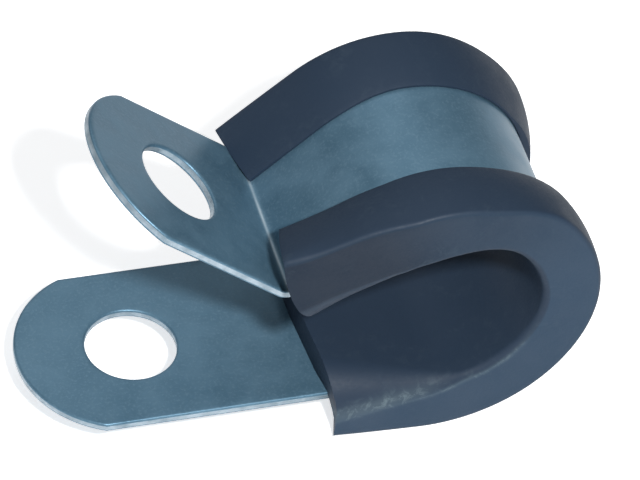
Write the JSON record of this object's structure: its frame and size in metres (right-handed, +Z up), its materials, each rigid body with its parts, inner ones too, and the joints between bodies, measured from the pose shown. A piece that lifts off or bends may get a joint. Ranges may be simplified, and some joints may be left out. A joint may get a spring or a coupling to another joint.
{
  "type": "rubber-lined p clip",
  "caption": "Sprung-open loop of bent steel strip with a channel-section rubber lining round the loop and a rounded, holed bolt tab at each end, one tab folded back up.",
  "frame": {"origin": "centre of the lower bolt hole on the underside of the lower tab, the face that lies on the panel", "axes": "+X from the lower hole towards the loop, +Y along the cable, +Z up out of the lower tab"},
  "size_m": [0.0328, 0.015, 0.0202],
  "materials": {
    "steel": "zinc plated, satin, with bright sheared edges",
    "rubber": "satin blue-black moulded rubber"
  },
  "bodies": {
    "root": {"band": "steel", "rubber_lining": "rubber"}
  },
  "joints": []
}
